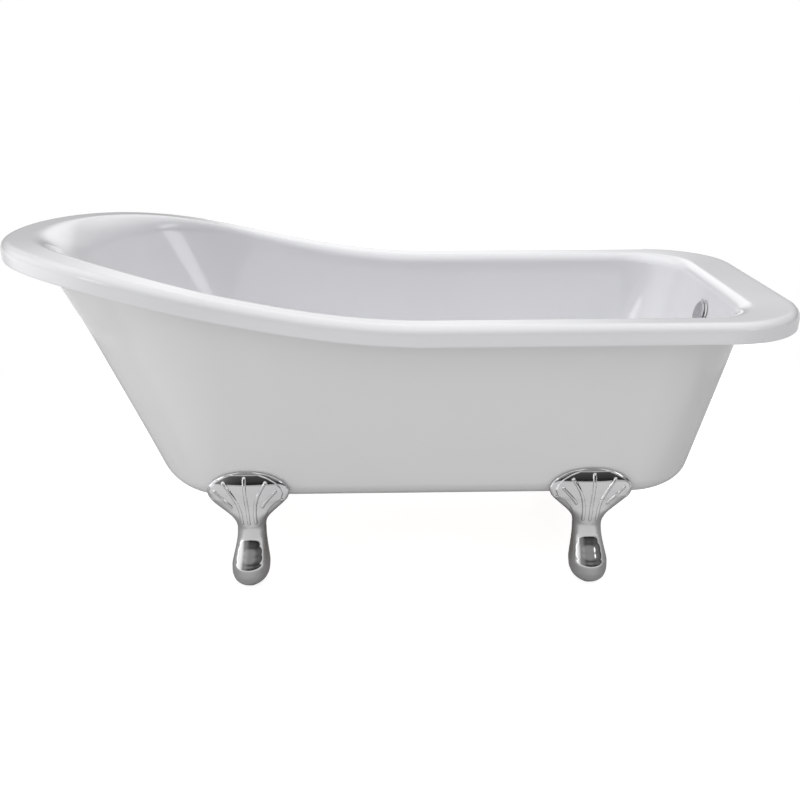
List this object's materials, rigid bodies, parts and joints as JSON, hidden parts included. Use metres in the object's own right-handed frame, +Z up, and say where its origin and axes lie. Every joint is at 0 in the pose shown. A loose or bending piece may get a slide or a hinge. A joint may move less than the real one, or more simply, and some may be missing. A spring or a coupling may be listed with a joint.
{
  "type": "freestanding bathtub",
  "caption": "Freestanding single-ended slipper bath with rolled rim, tap deck, cast fan-topped feet and a turning pop-up waste control on the end wall.",
  "frame": {"origin": "on the floor under the centre of the rim's outline", "axes": "+X along the bath towards the tap deck end, +Y to the back, +Z up"},
  "size_m": [1.7, 0.75, 0.7457],
  "materials": {
    "acrylic_shell": "polished white acrylic",
    "acrylic_skin": "polished white acrylic",
    "adhesive": "cured adhesive",
    "board": "resin coated board",
    "brass_parts": "turned",
    "steel": "zinc plated",
    "chrome": "mirror polished",
    "chrome_cast": "mirror polished casting",
    "seal_rubber": "moulded",
    "duct_plastic": "moulded",
    "hose_plastic": "flexible",
    "cable_sheath": "sheathed",
    "pad_rubber": "moulded"
  },
  "bodies": {
    "tub": {"bath_shell": "acrylic_shell", "outer_skin": "acrylic_skin", "rim_bead": "adhesive", "base_board": "board", "board_inserts": "brass_parts", "leg_head_front": "chrome_cast", "leg_head_back": "chrome_cast", "leg_foot_front": "chrome_cast", "leg_foot_back": "chrome_cast", "leg_bolts": "steel", "leg_washers": "steel", "overflow_plate": "chrome", "overflow_seal": "seal_rubber", "overflow_body": "duct_plastic", "overflow_hose": "hose_plastic", "hose_clips": "steel", "lift_cable": "cable_sheath", "waste_flange": "chrome", "waste_seal_top": "seal_rubber", "waste_seal_bottom": "seal_rubber", "waste_body": "duct_plastic"},
    "leveller_head_front": {"leveller_head_front": "steel", "pad_head_front": "pad_rubber"},
    "leveller_head_back": {"leveller_head_back": "steel", "pad_head_back": "pad_rubber"},
    "leveller_foot_front": {"leveller_foot_front": "steel", "pad_foot_front": "pad_rubber"},
    "leveller_foot_back": {"leveller_foot_back": "steel", "pad_foot_back": "pad_rubber"},
    "waste_control": {"overflow_knob": "chrome", "overflow_spindle": "brass_parts", "knob_screw": "chrome"},
    "plug": {"plug_cap": "chrome", "plug_seal": "seal_rubber", "plug_stem": "brass_parts"},
    "lift_lever": {"lift_lever": "steel"}
  },
  "joints": [
    {"name": "leveller_head_front_screw", "type": "slide", "parent": "tub", "child": "leveller_head_front", "axis": [0, 0, -1], "range_m": [0, 0.01]},
    {"name": "leveller_head_back_screw", "type": "slide", "parent": "tub", "child": "leveller_head_back", "axis": [0, 0, -1], "range_m": [0, 0.01]},
    {"name": "leveller_foot_front_screw", "type": "slide", "parent": "tub", "child": "leveller_foot_front", "axis": [0, 0, -1], "range_m": [0, 0.01]},
    {"name": "leveller_foot_back_screw", "type": "slide", "parent": "tub", "child": "leveller_foot_back", "axis": [0, 0, -1], "range_m": [0, 0.01]},
    {"name": "knob_turn", "type": "hinge", "parent": "tub", "child": "waste_control", "pos_m": [0.72333, 0, 0.534], "axis": [-0.9727, 0, 0.2321], "range_deg": [0, 90]},
    {"name": "lever_swing", "type": "hinge", "parent": "tub", "child": "lift_lever", "pos_m": [0.406, 0, 0.164], "axis": [0, -1, 0], "range_deg": [0, 35]},
    {"name": "plug_lift", "type": "slide", "parent": "tub", "child": "plug", "axis": [0, 0, 1], "range_m": [0, 0.00802]}
  ],
  "couplings": [
    {"joint": "lever_swing", "follows": "knob_turn", "ratio": 0.38889},
    {"joint": "plug_lift", "follows": "knob_turn", "m_per_rad": 0.005093}
  ]
}
